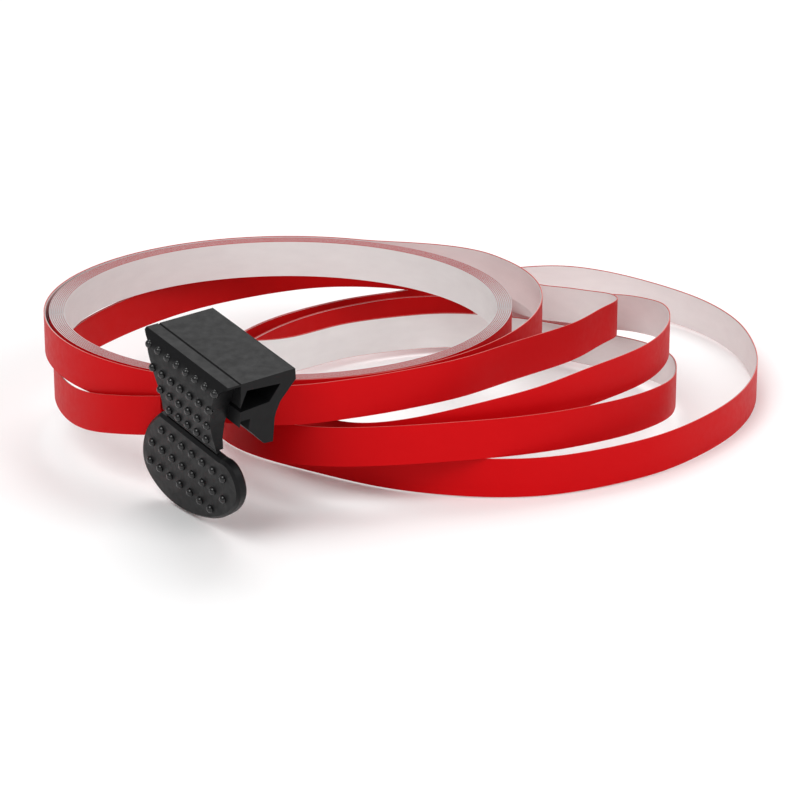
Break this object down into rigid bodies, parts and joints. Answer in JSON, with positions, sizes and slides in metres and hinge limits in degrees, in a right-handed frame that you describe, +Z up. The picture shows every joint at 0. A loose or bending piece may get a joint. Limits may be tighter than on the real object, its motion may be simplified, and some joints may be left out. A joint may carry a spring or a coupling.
{
  "type": "wheel rim striping tape kit",
  "caption": "Loose coil of narrow self-adhesive striping tape on a release liner, lying on its side, with a small moulded applicator that has a beaded thumb flap.",
  "frame": {"origin": "centre of the footprint, on the ground", "axes": "+Z up, +X to the right and +Y away when the applicator stands at the front left"},
  "size_m": [0.1304, 0.1302, 0.0343],
  "materials": {
    "tape_film": "satin red vinyl film",
    "tape_liner": "smooth off-white release paper",
    "applicator_plastic": "satin black moulded plastic with glossy beads"
  },
  "bodies": {
    "tape": {"strip_1_film": "tape_film", "strip_1_liner": "tape_liner", "strip_2_film": "tape_film", "strip_2_liner": "tape_liner", "strip_3_film": "tape_film", "strip_3_liner": "tape_liner", "strip_4_film": "tape_film", "strip_4_liner": "tape_liner"},
    "applicator": {"applicator_head": "applicator_plastic", "applicator_living_hinge": "applicator_plastic"},
    "thumb_flap": {"applicator_thumb_flap": "applicator_plastic"}
  },
  "joints": [
    {"name": "applicator_lift", "type": "slide", "parent": "tape", "child": "applicator", "axis": [-0.265, -0.459, 0.848], "range_m": [0, 0.06]},
    {"name": "flap_bend", "type": "hinge", "parent": "applicator", "child": "thumb_flap", "pos_m": [-0.03554, -0.05201, 0.0174], "axis": [0.5868, -0.7927, -0.1649], "range_deg": [-20, 0], "stiffness_Nm_per_rad": 0.02}
  ]
}
